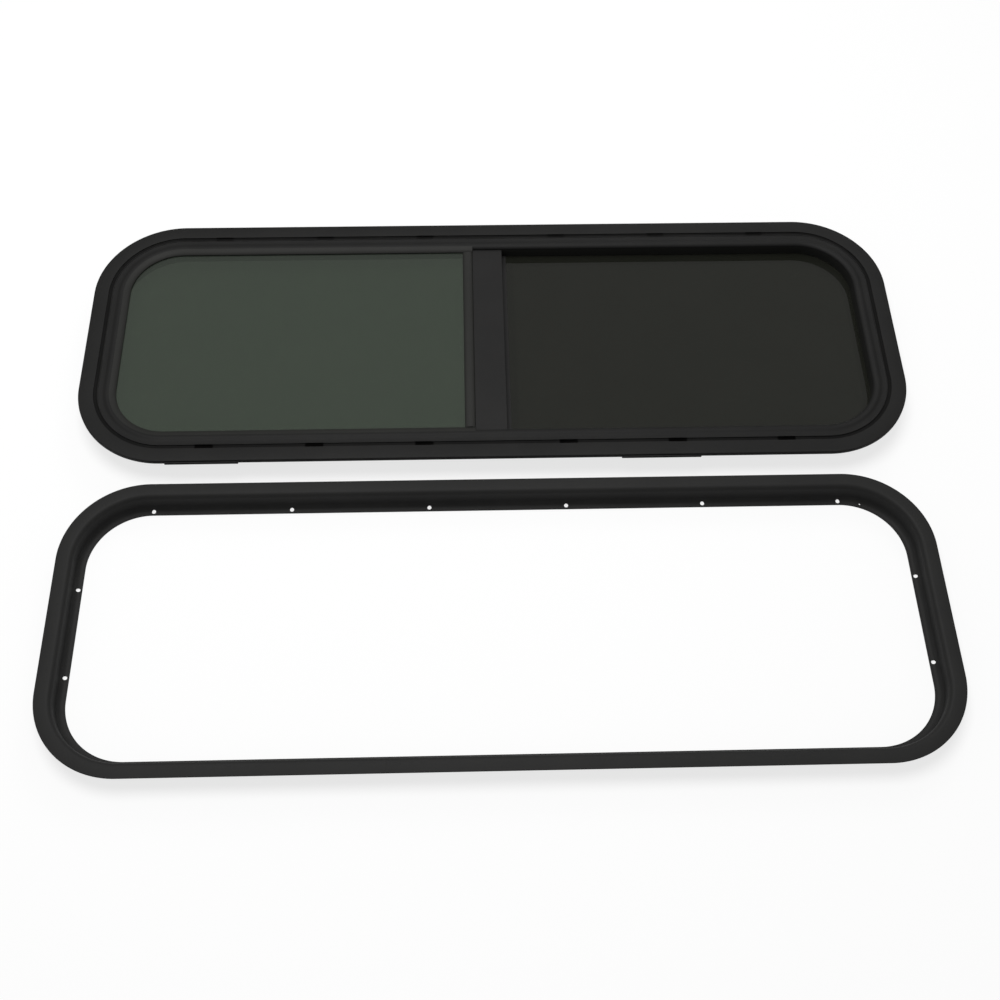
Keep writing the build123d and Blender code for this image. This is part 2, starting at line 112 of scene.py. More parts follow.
def colour(name, description, red, green, blue):
    """A linear colour."""
    return FloatVectorProperty(
        name=name, description=description, default=(red, green, blue), size=3, subtype="COLOR",
        min=0.0, max=1.0,
    )


class FrameSizes(bpy.types.PropertyGroup):
    """Section of the window's frame, by inset from the flange's edge and by height."""

    flange: length("Flange", "Thickness of the outer flange", 2.5)
    edge_round: length("Edge round", "Round of the flange's outer edge", 1.1)
    lip_width: length("Lip width", "Width of the lip below the flange's edge", 2.5)
    lip_drop: length("Lip drop", "How far the lip reaches below the flange", 2.5)
    nose_rise: length("Nose rise", "How far the nose stands above the flange", 0.25)
    groove_inset: length("Groove inset", "Where the drain groove begins", 17.2)
    groove_width: length("Groove width", "Width of the drain groove", 4.2)
    groove_depth: length("Groove depth", "Depth of the drain groove", 1.3)
    rib: length("Rib", "Inner end of the rib behind the groove", 22.4)
    band_drop: length("Band drop", "How far the flat band lies below the flange", 0.7)
    nose_inset: length("Nose inset", "Where the nose begins", 27.0)
    nose_width: length("Nose width", "Width of the nose", 11.0)
    nose_crest: length("Nose crest", "Distance of the nose's crest from where it begins", 5.0)
    nose_thickness: length("Nose thickness", "Height of the nose", 4.3)
    nose_foot: length("Nose foot", "Height of the nose's upright inner edge", 0.5)
    wall_inset: length("Wall inset", "Outer face of the wall", 20.6)
    web_inner: length("Web end", "Inner end of the two webs", 34.0)
    boss_inner: length("Boss end", "Inner face of the screw boss", 29.0)
    boss_height: length("Boss height", "Height of the screw boss", 8.4)
    web: length("Web", "Thickness of the webs", 1.6)
    channel: length("Channel", "Height of the sash channel", 7.6)
    screw_inset: length("Screw groove inset", "Where the screw groove begins", 23.45)
    screw_width: length("Screw groove width", "Width of the screw groove", 2.6)
    screw_depth: length("Screw groove depth", "Depth of the screw groove", 6.0)
    weep_length: length("Weep length", "Length of a weep slot", 20.5)
    weep_width: length("Weep width", "Width of a weep slot", 4.9)
    weep_depth: length("Weep depth", "Depth of a weep slot below the flange", 2.1)


class RingSizes(bpy.types.PropertyGroup):
    """Section of the clamp ring."""

    sheet: length("Sheet", "Thickness of the ring's strip", 1.2)
    wall_inset: length("Wall inset", "Outer face of the ring's wall", 16.275)
    shoulder: length("Shoulder", "Round where the flange turns into the wall", 5.6)
    foot: length("Foot", "Round where the wall turns into the ledge", 6.8)
    ledge_inset: length("Ledge inset", "Inner end of the screw ledge", 25.8)
    hole: length("Hole", "Diameter of the screw holes", 4.6)
    hole_inset: length("Hole inset", "Where the screw holes' middles lie", 21.575)
    side_row: length("Side row", "Distance of the end holes from the middle", 50.8)
    pin_hole: length("Pin hole", "Diameter of the small hole in one corner", 1.8)


class GlazingSizes(bpy.types.PropertyGroup):
    """Rubbers, pile and insect cloth."""

    wedge_start: length("Wedge start", "Where the gasket's wedge meets the nose", 34.6)
    wedge_edge: length("Wedge edge", "Height of the wedge's thin edge over the pane", 1.5)
    yarn: length("Yarn", "Thickness of the insect cloth's yarns", 0.40)
    yarn_pitch: length("Yarn pitch", "Distance between yarns", 0.92)
    pile_pitch: length("Pile pitch", "Distance between tufts of the pile", 1.1)


class FinishColours(bpy.types.PropertyGroup):
    """Colours of the finishes."""

    coat: colour("Coat", "Powder coat of the frame", 0.0080, 0.0080, 0.0078)
    ring: colour("Ring", "Powder coat of the clamp ring", 0.0130, 0.0130, 0.0127)
    mullion: colour("Mullion", "Finish of the mullion and the stile", 0.0098, 0.0096, 0.0096)
    fixed_pane: colour("Fixed pane", "Tint of the fixed pane and its film", 0.079, 0.099, 0.076)
    # Darker than the fixed pane's tint: partly glass tint and partly painted shade for the insect screen and
    # the deep channel.
    sash_pane: colour("Sash pane", "Tint of the sliding pane and its film", 0.033, 0.035, 0.026)
    rubber: colour("Rubber", "Gaskets and seals", 0.0110, 0.0112, 0.0100)
    vinyl: colour("Vinyl", "Liners of the sash channel", 0.018, 0.018, 0.019)
    nylon: colour("Nylon", "Clips, stops, glides and covers", 0.006, 0.006, 0.006)
    pile: colour("Pile", "Fibres of the pile strip", 0.05, 0.05, 0.054)
    cloth: colour("Cloth", "Yarns of the insect cloth", 0.016, 0.015, 0.011)
    # Pale grey of edge wear, turned up to also stand for the highlight on the edges' rounds: painted
    # highlight.
    rub_and_highlight_grey: colour("Rubbed", "Where an edge is worn through to grey", 0.070, 0.070, 0.070)
    dust: colour("Dust", "Settled dust", 0.19, 0.18, 0.165)
    floor: colour("Floor", "Studio floor", 0.85, 0.85, 0.85)


class WindowSettings(bpy.types.PropertyGroup):
    """All settings of the window."""

    frame: PointerProperty(type=FrameSizes)
    ring: PointerProperty(type=RingSizes)
    glazing: PointerProperty(type=GlazingSizes)
    colours: PointerProperty(type=FinishColours)


# Sections and outlines


def arc_steps(radius):
    """How many steps draw a corner of this radius."""
    return 3 if radius < 0.6 * MM else 6 if radius < 1.5 * MM else 12


def rounded(corners):
    """Points of a closed section whose corners are (across, height, radius), each with its share of edge
    wear and painted highlight.
    """
    points = []
    for before, corner, after in zip(corners[-1:] + corners[:-1], corners, corners[1:] + corners[:1]):
        here = Vector(corner[:2])
        radius = corner[2]
        if radius <= 0:
            points.append((here.x, here.y, 0.0))
            continue
        back = (Vector(before[:2]) - here).normalized()
        ahead = (Vector(after[:2]) - here).normalized()
        half = back.angle(ahead) / 2
        centre = here + (back + ahead).normalized() * radius / math.sin(half)
        start = here + back * radius / math.tan(half) - centre
        turn = math.copysign(math.pi - 2 * half, ahead.cross(back))
        steps = arc_steps(radius)
        outside = 1.0 if turn > 0 else 0.0
        for step in range(steps + 1):
            point = centre + Matrix.Rotation(turn * step / steps, 2) @ start
            points.append((point.x, point.y, outside * math.sin(math.pi * step / steps)))
    return points


def inset_of(outline, place):
    """How far a place lies inside an outline."""
    beyond = Vector((
        abs(place.x) - outline.width / 2 + outline.radius,
        abs(place.y - outline.middle) - outline.height / 2 + outline.radius,
    ))
    corner = math.hypot(max(beyond.x, 0.0), max(beyond.y, 0.0))
    return outline.radius - corner - min(max(beyond.x, beyond.y), 0.0)


def corner_stations(outline, across, along):
    """Stations round one corner of an outline, counter-clockwise, with the way inwards at each."""
    centre = Vector((
        across * (outline.width / 2 - outline.radius),
        outline.middle + along * (outline.height / 2 - outline.radius),
    ))
    first = {(1, -1): -90, (1, 1): 0, (-1, 1): 90, (-1, -1): 180}[(across, along)]
    stations = []
    for step in range(CORNER_STEPS + 1):
        angle = math.radians(first + 90 * step / CORNER_STEPS)
        out = Vector((math.cos(angle), math.sin(angle)))
        stations.append(Station(centre + out * outline.radius, -out, "plain"))
    return stations


def side_stations(outline, along, places, reach):
    """Stations along a long side at both ends of each slot, in the direction of the sweep."""
    y = outline.middle + along * outline.height / 2
    inwards = Vector((0, -along))
    way = -along
    stations = []
    for place in sorted(places, key=lambda x: way * x):
        for end, kinds in ((-way, ("plain", "slot")), (way, ("slot", "plain"))):
            edge = Vector((place + end * reach / 2, y))
            stations += [Station(edge, inwards, kind) for kind in kinds]
    return stations


def loop_stations(outline, places=(), reach=0.0):
    """Stations once round an outline, with a slot at each place along both long sides."""
    return (
        corner_stations(outline, 1, -1)
        + corner_stations(outline, 1, 1)
        + side_stations(outline, 1, places, reach)
        + corner_stations(outline, -1, 1)
        + corner_stations(outline, -1, -1)
        + side_stations(outline, -1, places, reach)
    )


def end_stations(outline, across, cut, step_cut=None):
    """Stations round one end of an outline, from a cut on one long side to the cut on the other."""
    order = ((1, -1), (1, 1)) if across > 0 else ((-1, 1), (-1, -1))
    corners = [station for corner in order for station in corner_stations(outline, *corner)]
    first_side, last_side = order[0][1], order[1][1]

    def on_side(along, x, kind):
        edge = Vector((x, outline.middle + along * outline.height / 2))
        return Station(edge, Vector((0, -along)), kind)

    if step_cut is None:
        return [on_side(first_side, cut, "plain")] + corners + [on_side(last_side, cut, "plain")]
    corners = [station._replace(kind="step") for station in corners]
    run_in = ((cut, "plain"), (step_cut, "plain"), (step_cut, "step"))
    lead = [on_side(first_side, x, kind) for x, kind in run_in]
    tail = [on_side(last_side, x, kind) for x, kind in reversed(run_in)]
    return lead + corners + tail


def sweep_rows(stations, sections):
    """Rows of points: at each station, the section of its kind laid along the way inwards."""
    rows = []
    for station in stations:
        row = []
        for across, height, rub_and_highlight in sections[station.kind]:
            place = station.edge + station.inwards * across
            row.append((Vector((place.x, place.y, height)), rub_and_highlight))
        rows.append(row)
    return rows


def run_rows(section, start, end, middle):
    """Two rows of a section given by X and height, at both ends of a straight run along Y."""
    return [
        [(Vector((across, middle + y, height)), rub_and_highlight) for across, height, rub_and_highlight in section]
        for y in (start, end)
    ]


# Meshes


def mesh_object(name, shape, sharp_degrees=38.0):
    """An object from a bmesh, smooth except over sharp edges."""
    data = bpy.data.meshes.new(name)
    shape.to_mesh(data)
    shape.free()
    data.polygons.foreach_set("use_smooth", [True] * len(data.polygons))
    data.set_sharp_from_angle(angle=math.radians(sharp_degrees))
    made = bpy.data.objects.new(name, data)
    bpy.context.scene.collection.objects.link(made)
    return made


def loft_into(shape, rows, closed):
    """Adds a skin through rows of points, each a closed section, to a bmesh."""
    # Each point's share of edge wear and painted highlight
    rub_and_highlight_layer = shape.verts.layers.float.get("rub_and_highlight") or shape.verts.layers.float.new("rub_and_highlight")
    made = []
    for row in rows:
        verts = []
        for place, rub_and_highlight in row:
            vert = shape.verts.new(place)
            vert[rub_and_highlight_layer] = rub_and_highlight
            verts.append(vert)
        made.append(verts)
    count = len(rows[0])
    following = made[1:] + made[:1] if closed else made[1:]
    for one, other in zip(made, following):
        for k in range(count):
            j = (k + 1) % count
            shape.faces.new((one[k], one[j], other[j], other[k]))
    if not closed:
        shape.faces.new(made[0][::-1])
        shape.faces.new(made[-1])


def loft(name, rows, closed=False):
    """An object with a skin through rows of points."""
    shape = bmesh.new()
    loft_into(shape, rows, closed)
    bmesh.ops.remove_doubles(shape, verts=shape.verts, dist=TINY)
    bmesh.ops.recalc_face_normals(shape, faces=shape.faces)
    return mesh_object(name, shape)


def rounded_loop(middle_x, middle_y, half_x, half_y, radius, height):
    """A closed row of points round a level rectangle with round corners."""
    steps = 10
    row = []
    for across, along, first in ((1, -1, -90), (1, 1, 0), (-1, 1, 90), (-1, -1, 180)):
        for step in range(steps + 1):
            angle = math.radians(first + 90 * step / steps)
            x = middle_x + across * (half_x - radius) + radius * math.cos(angle)
            y = middle_y + along * (half_y - radius) + radius * math.sin(angle)
            row.append((Vector((x, y, height)), 0.0))
    return row


def cut_holes(piece, holes, bottom, top):
    """Cuts round holes, given as (place, diameter), through a piece with a boolean that is then applied."""
    shape = bmesh.new()
    for place, diameter in holes:
        spot = Matrix.Translation((place[0], place[1], (bottom + top) / 2))
        bmesh.ops.create_cone(
            shape, cap_ends=True, segments=32, radius1=diameter / 2, radius2=diameter / 2,
            depth=top - bottom, matrix=spot,
        )
    cutter = mesh_object("hole_cutter", shape)
    tool = piece.modifiers.new("holes", "BOOLEAN")
    tool.operation = "DIFFERENCE"
    tool.solver = "EXACT"
    tool.object = cutter
    bpy.context.view_layer.update()
    seen = piece.evaluated_get(bpy.context.evaluated_depsgraph_get())
    data = bpy.data.meshes.new_from_object(seen)
    piece.modifiers.clear()
    piece.data = data
    data.set_sharp_from_angle(angle=math.radians(38))
    bpy.data.objects.remove(cutter)


def soften_node(node, width):
    """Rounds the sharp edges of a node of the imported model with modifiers."""
    piece = frame["nodes"][node]
    weld = piece.modifiers.new("weld", "WELD")
    weld.merge_threshold = TINY
    bevel = piece.modifiers.new("soft edges", "BEVEL")
    bevel.limit_method = "ANGLE"
    bevel.angle_limit = math.radians(40)
    bevel.width = width
    bevel.segments = 2
    piece.modifiers.new("even shading", "WEIGHTED_NORMAL")
    return piece


def dress(piece, material):
    """Gives a piece its finish."""
    piece.data.materials.clear()
    piece.data.materials.append(material)


def place(piece, body, slot, material, *nodes):
    """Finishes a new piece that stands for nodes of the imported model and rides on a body."""
    dress(piece, material)
    if nodes:
        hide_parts(*nodes)
    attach(piece, body)


# Shader groups and finishes


def new_group(name, inputs, outputs):
    """An empty shader group with its input and output sockets."""
    group = bpy.data.node_groups.new(name, "ShaderNodeTree")
    for label, kind, default in inputs:
        socket = group.interface.new_socket(label, in_out="INPUT", socket_type=kind)
        socket.default_value = default
    for label, kind in outputs:
        group.interface.new_socket(label, in_out="OUTPUT", socket_type=kind)
    return group, group.nodes.new("NodeGroupInput"), group.nodes.new("NodeGroupOutput")


def noise(tree, scale, detail, source):
    """A noise texture on an object's own coordinates."""
    node = tree.nodes.new("ShaderNodeTexNoise")
    node.inputs["Detail"].default_value = detail
    if isinstance(scale, (int, float)):
        node.inputs["Scale"].default_value = scale
    else:
        tree.links.new(scale, node.inputs["Scale"])
    tree.links.new(source, node.inputs["Vector"])
    return node.outputs["Fac"]


def remap(tree, value, low, high, to_low, to_high):
    """A value moved from one range to another, where each end is a number or a socket."""
    node = tree.nodes.new("ShaderNodeMapRange")
    tree.links.new(value, node.inputs["Value"])
    for label, end in (("From Min", low), ("From Max", high), ("To Min", to_low), ("To Max", to_high)):
        if isinstance(end, (int, float)):
            node.inputs[label].default_value = end
        else:
            tree.links.new(end, node.inputs[label])
    return node.outputs["Result"]


def multiply(tree, one, other):
    """The product of two values."""
    node = tree.nodes.new("ShaderNodeMath")
    node.operation = "MULTIPLY"
    for socket, value in zip(node.inputs, (one, other)):
        if isinstance(value, (int, float)):
            socket.default_value = value
        else:
            tree.links.new(value, socket)
    return node.outputs["Value"]


def mix_colours(tree, share, one, other, mode="MIX"):
    """One colour passed over into another by a share."""
    node = tree.nodes.new("ShaderNodeMix")
    node.data_type = "RGBA"
    node.blend_type = mode
    for socket, value in ((node.inputs["Factor"], share), (node.inputs[6], one), (node.inputs[7], other)):
        if isinstance(value, (int, float)):
            socket.default_value = value
        else:
            tree.links.new(value, socket)
    return node.outputs[2]


def grain_group():
    """Fine grain of a sprayed or moulded surface: a varied colour, a roughness and a height."""
    group, start, end = new_group(
        "Surface Grain",
        (
            ("Colour", "NodeSocketColor", (0.02, 0.02, 0.02, 1)),
            ("Grain Scale", "NodeSocketFloat", 1800.0),
            ("Tone Spread", "NodeSocketFloat", 0.25),
            ("Low Roughness", "NodeSocketFloat", 0.4),
            ("High Roughness", "NodeSocketFloat", 0.55),
        ),
        (("Colour", "NodeSocketColor"), ("Roughness", "NodeSocketFloat"), ("Height", "NodeSocketFloat")),
    )
    spot = group.nodes.new("ShaderNodeTexCoord").outputs["Object"]
    fine = noise(group, start.outputs["Grain Scale"], 2.0, spot)
    broad = noise(group, 14.0, 3.0, spot)
    tone = remap(group, broad, 0.3, 0.7, 0.0, 1.0)
    light = group.nodes.new("ShaderNodeHueSaturation")
    both = group.nodes.new("ShaderNodeMath")
    both.operation = "MULTIPLY_ADD"
    group.links.new(remap(group, tone, 0.0, 1.0, -0.5, 0.5), both.inputs[0])
    group.links.new(start.outputs["Tone Spread"], both.inputs[1])
    both.inputs[2].default_value = 1.0
    group.links.new(start.outputs["Colour"], light.inputs["Color"])
    group.links.new(both.outputs["Value"], light.inputs["Value"])
    rough = remap(
        group, fine, 0.3, 0.7, start.outputs["Low Roughness"], start.outputs["High Roughness"]
    )
    group.links.new(light.outputs["Color"], end.inputs["Colour"])
    group.links.new(rough, end.inputs["Roughness"])
    group.links.new(fine, end.inputs["Height"])
    return group


def rub_and_painted_light_group():
    """Lightened convex edges, for wear and as painted highlight, and painted shade in marked hollows: the
    colour with both, and a mask of what lies outside the painted shade.
    """
    group, start, end = new_group(
        "Edge Rub And Painted Light",
        (
            ("Colour", "NodeSocketColor", (0.02, 0.02, 0.02, 1)),
            ("Rub Colour", "NodeSocketColor", (0.1, 0.1, 0.1, 1)),
            ("Painted Shade Colour", "NodeSocketColor", (0.001, 0.001, 0.001, 1)),
            ("Amount", "NodeSocketFloat", 0.5),
        ),
        (("Colour", "NodeSocketColor"), ("Outside Painted Shade", "NodeSocketFloat")),
    )
    spot = group.nodes.new("ShaderNodeTexCoord").outputs["Object"]
    edge = group.nodes.new("ShaderNodeAttribute")
    edge.attribute_name = "rub_and_highlight"
    patches = remap(group, noise(group, 60.0, 4.0, spot), 0.42, 0.68, 0.0, 1.0)
    mask = multiply(group, multiply(group, edge.outputs["Fac"], patches), start.outputs["Amount"])
    tinted = mix_colours(group, mask, start.outputs["Colour"], start.outputs["Rub Colour"])
    # Painted shade: marked hollows are darkened towards near black.
    hollow = group.nodes.new("ShaderNodeAttribute")
    hollow.attribute_name = "hollow"
    shaded = mix_colours(group, hollow.outputs["Fac"], tinted, start.outputs["Painted Shade Colour"])
    group.links.new(shaded, end.inputs["Colour"])
    group.links.new(remap(group, hollow.outputs["Fac"], 0.0, 1.0, 1.0, 0.0), end.inputs["Outside Painted Shade"])
    return group


def dust_group():
    """Dust on what faces up: the colour with its dust."""
    group, start, end = new_group(
        "Dust Film",
        (
            ("Colour", "NodeSocketColor", (0.02, 0.02, 0.02, 1)),
            ("Dust Colour", "NodeSocketColor", (0.2, 0.19, 0.17, 1)),
            ("Amount", "NodeSocketFloat", 0.05),
        ),
        (("Colour", "NodeSocketColor"),),
    )
    spot = group.nodes.new("ShaderNodeTexCoord").outputs["Object"]
    facing = group.nodes.new("ShaderNodeSeparateXYZ")
    group.links.new(group.nodes.new("ShaderNodeNewGeometry").outputs["Normal"], facing.inputs[0])
    up = remap(group, facing.outputs["Z"], 0.2, 1.0, 0.0, 1.0)
    clouds = remap(group, noise(group, 22.0, 5.0, spot), 0.35, 0.75, 0.15, 1.0)
    specks = remap(group, noise(group, 900.0, 1.0, spot), 0.66, 0.78, 0.0, 1.6)
    layers = group.nodes.new("ShaderNodeMath")
    layers.operation = "ADD"
    group.links.new(clouds, layers.inputs[0])
    group.links.new(specks, layers.inputs[1])
    mask = multiply(group, multiply(group, up, layers.outputs["Value"]), start.outputs["Amount"])
    tinted = mix_colours(group, mask, start.outputs["Colour"], start.outputs["Dust Colour"])
    group.links.new(tinted, end.inputs["Colour"])
    return group


GROUP_MAKERS = {"Surface Grain": grain_group, "Edge Rub And Painted Light": rub_and_painted_light_group, "Dust Film": dust_group}


def use_group(tree, name, **values):
    """Places a shader group, built on first use, with its own values."""
    node = tree.nodes.new("ShaderNodeGroup")
    node.node_tree = bpy.data.node_groups.get(name) or GROUP_MAKERS[name]()
    for label, value in values.items():
        socket = node.inputs[label.replace("_", " ")]
        if isinstance(value, (int, float)):
            socket.default_value = value
        elif isinstance(value, bpy.types.NodeSocket):
            tree.links.new(value, socket)
        else:
            socket.default_value = (*value, 1)
    return node


def blank_material(name):
    """A new material with its node tree and its Principled shader."""
    made = bpy.data.materials.new(name)
    made.use_nodes = True
    return made, made.node_tree, made.node_tree.nodes["Principled BSDF"]


def surface(name, base, grain=1800.0, roughness=(0.4, 0.55), bump=0.06, spread=0.25, rub_and_highlight=0.0, dust=0.04,
            metallic=0.0, specular=0.5):
    """A solid finish with grain, edges lightened for wear and as painted highlight, painted shade in marked
    hollows, and dust.
    """
    colours = bpy.context.scene.sliding_window.colours
    made, tree, shader = blank_material(name)
    low, high = roughness
    skin = use_group(
        tree, "Surface Grain", Colour=base, Grain_Scale=grain, Tone_Spread=spread,
        Low_Roughness=low, High_Roughness=high,
    )
    # The colour with edge wear and painted highlight, and painted shade in marked hollows.
    worn = use_group(
        tree, "Edge Rub And Painted Light", Colour=skin.outputs["Colour"], Rub_Colour=colours.rub_and_highlight_grey, Amount=rub_and_highlight
    )
    dusty = use_group(
        tree, "Dust Film", Colour=worn.outputs["Colour"], Dust_Colour=colours.dust, Amount=dust
    )
    relief = tree.nodes.new("ShaderNodeBump")
    relief.inputs["Strength"].default_value = bump
    relief.inputs["Distance"].default_value = 0.2 * MM
    tree.links.new(skin.outputs["Height"], relief.inputs["Height"])
    tree.links.new(dusty.outputs["Colour"], shader.inputs["Base Color"])
    tree.links.new(skin.outputs["Roughness"], shader.inputs["Roughness"])
    tree.links.new(relief.outputs["Normal"], shader.inputs["Normal"])
    shader.inputs["Metallic"].default_value = metallic
    shader.inputs["Specular IOR Level"].default_value = specular
    # Painted shade also takes the gloss out of the marked hollows.
    if rub_and_highlight:
        tree.links.new(multiply(tree, worn.outputs["Outside Painted Shade"], specular), shader.inputs["Specular IOR Level"])
    return made


def pane_glass(name, tint):
    """Tinted pane with a slight roller wave under a thin film, that lets lamps through."""
    made, tree, shader = blank_material(name)
    colours = bpy.context.scene.sliding_window.colours
    dusty = use_group(tree, "Dust Film", Colour=tint, Dust_Colour=colours.dust, Amount=0.02)
    spot = tree.nodes.new("ShaderNodeTexCoord").outputs["Object"]
    wave = tree.nodes.new("ShaderNodeBump")
    wave.inputs["Strength"].default_value = 0.015
    wave.inputs["Distance"].default_value = 1.0 * MM
    tree.links.new(noise(tree, 9.0, 1.0, spot), wave.inputs["Height"])
    tree.links.new(dusty.outputs["Colour"], shader.inputs["Base Color"])
    tree.links.new(wave.outputs["Normal"], shader.inputs["Normal"])
    shader.inputs["Roughness"].default_value = 0.02
    shader.inputs["IOR"].default_value = 1.5
    shader.inputs["Transmission Weight"].default_value = PANE_CLEARNESS
    through = tree.nodes.new("ShaderNodeBsdfTransparent")
    through.inputs["Color"].default_value = (*(math.sqrt(part) for part in tint), 1)
    rays = tree.nodes.new("ShaderNodeLightPath")
    blend = tree.nodes.new("ShaderNodeMixShader")
    tree.links.new(rays.outputs["Is Shadow Ray"], blend.inputs[0])
    tree.links.new(shader.outputs[0], blend.inputs[1])
    tree.links.new(through.outputs[0], blend.inputs[2])
    tree.links.new(blend.outputs[0], tree.nodes["Material Output"].inputs["Surface"])
    return made


def coat(name, base, rub_and_highlight=0.5):
    """Satin powder coat on aluminium."""
    # Convex edges are lightened for wear and as painted highlight; marked hollows get painted shade.
    return surface(
        name, base, grain=1500.0, roughness=(0.55, 0.66), bump=0.10, spread=0.14, rub_and_highlight=rub_and_highlight, dust=0.012,
        specular=0.125,
    )


def rubber(name, base):
    """Dull black rubber with a fine skin."""
    return surface(
        name, base, grain=2600.0, roughness=(0.54, 0.66), bump=0.05, spread=0.2, dust=0.012, specular=0.18
    )


def plastic(name, base):
    """Moulded plastic with a fine spark-eroded grain."""
    return surface(
        name, base, grain=3200.0, roughness=(0.50, 0.62), bump=0.08, spread=0.15, dust=0.012, specular=0.15
    )


def finish(slot):
    """The look of a slot, made on first use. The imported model's own materials bear the slots' names."""
    colours = bpy.context.scene.sliding_window.colours
    makers = {
        "frame_finish": lambda name: coat(name, colours.coat),
        "ring_finish": lambda name: coat(name, colours.ring, 0.05),
        "mullion_finish": lambda name: coat(name, colours.mullion),
        "screen_frame_finish": lambda name: coat(name, colours.coat),
        "fixed_pane": lambda name: pane_glass(name, colours.fixed_pane),
        "sash_pane": lambda name: pane_glass(name, colours.sash_pane),
        "glazing_rubber": lambda name: rubber(name, colours.rubber),
        "track_vinyl": lambda name: plastic(name, colours.vinyl),
        "black_nylon": lambda name: plastic(name, colours.nylon),
        "pull_plastic": lambda name: plastic(name, colours.nylon),
        "pile": lambda name: rubber(name, colours.pile),
        "screen_cloth": lambda name: plastic(name, colours.cloth),
    }
    name = f"{slot}_look"
    return bpy.data.materials.get(name) or makers[slot](name)


# Sections of the pieces


def nose_height(sizes, across):
    """Height of the nose at an inset: a soft rise to its crest, then a round fall inwards."""
    top = FRAME_HIGH.z
    crest = sizes.nose_inset + sizes.nose_crest
    if across < crest:
        rise = sizes.nose_rise + sizes.band_drop
        share = (across - sizes.nose_inset) / sizes.nose_crest
        return top - rise * (1 + math.cos(math.pi * share)) / 2
    share = (across - crest) / (sizes.nose_width - sizes.nose_crest)
    fall = sizes.nose_thickness - sizes.nose_foot
    return top - fall * (1 - math.sqrt(max(1 - share**2, 0.0)))


def nose_corners(sizes):
    """The part of the frame's section over the nose and back under it."""
    inner = sizes.nose_inset + sizes.nose_width
    bottom = FRAME_HIGH.z - sizes.nose_thickness
    crest = sizes.nose_inset + sizes.nose_crest
    rise = [sizes.nose_inset + sizes.nose_crest * step / 10 for step in range(11)]
    fall = [crest + (inner - crest) * math.sin(math.pi / 2 * step / 16) for step in range(1, 17)]
    over = [(across, nose_height(sizes, across), 0.0) for across in rise + fall]
    return [*over, (inner, bottom, 0.2 * MM), (sizes.nose_inset, bottom, 0.0)]


def frame_section(sizes, slotted):
    """The frame's extrusion, from its lip over the flange and nose to the indoor face."""
    top = FRAME_HIGH.z - sizes.nose_rise
    under = top - sizes.flange
    wall_inner = sizes.rib
    fine = 0.25 * MM
    widen = (sizes.weep_width - sizes.groove_width) / 2 if slotted else 0.0
    groove_outer = sizes.groove_inset - widen
    groove_inner = sizes.groove_inset + sizes.groove_width + widen
    groove_floor = top - (sizes.weep_depth if slotted else sizes.groove_depth)
    lower_web = sizes.boss_height + sizes.web
    upper_web = lower_web + sizes.channel
    corners = [
        (0.0, under - sizes.lip_drop, 0.4 * MM),
        (0.0, top, sizes.edge_round),
        (groove_outer, top, fine),
        (groove_outer, groove_floor, fine),
        (groove_inner, groove_floor, fine),
        (groove_inner, top, fine),
        (wall_inner, top, fine),
        (wall_inner, top - sizes.band_drop, fine),
        *nose_corners(sizes),
        (sizes.nose_inset, under, 0.0),
        (wall_inner, under, 0.3 * MM),
        (wall_inner, upper_web + sizes.web, 0.3 * MM),
        (sizes.web_inner, upper_web + sizes.web, fine),
        (sizes.web_inner, upper_web, fine),
        (wall_inner, upper_web, 0.3 * MM),
        (wall_inner, lower_web, 0.3 * MM),
        (sizes.web_inner, lower_web, fine),
        (sizes.web_inner, sizes.boss_height, fine),
        (sizes.boss_inner, sizes.boss_height, 0.3 * MM),
        (sizes.boss_inner, 0.0, 0.5 * MM),
        (sizes.screw_inset + sizes.screw_width, 0.0, fine),
        (sizes.screw_inset + sizes.screw_width, sizes.screw_depth, fine),
        (sizes.screw_inset, sizes.screw_depth, fine),
        (sizes.screw_inset, 0.0, fine),
        (sizes.wall_inset, 0.0, 0.5 * MM),
        (sizes.wall_inset, under, 0.6 * MM),
        (sizes.lip_width, under, 0.4 * MM),
        (sizes.lip_width, under - sizes.lip_drop, fine),
    ]
    return rounded(corners)


def ring_section(sizes):
    """The clamp ring's strip, bent twice."""
    top = RING_HIGH.z
    wall_inner = sizes.wall_inset + sizes.sheet
    edge = 0.25 * MM
    return rounded([
        (0.0, top - sizes.sheet, edge),
        (0.0, top, 0.5 * MM),
        (wall_inner, top, sizes.shoulder),
        (wall_inner, sizes.sheet, sizes.foot),
        (sizes.ledge_inset, sizes.sheet, 0.4 * MM),
        (sizes.ledge_inset, 0.0, edge),
        (sizes.wall_inset, 0.0, sizes.foot + sizes.sheet),
        (sizes.wall_inset, top - sizes.sheet, sizes.shoulder - sizes.sheet),
    ])


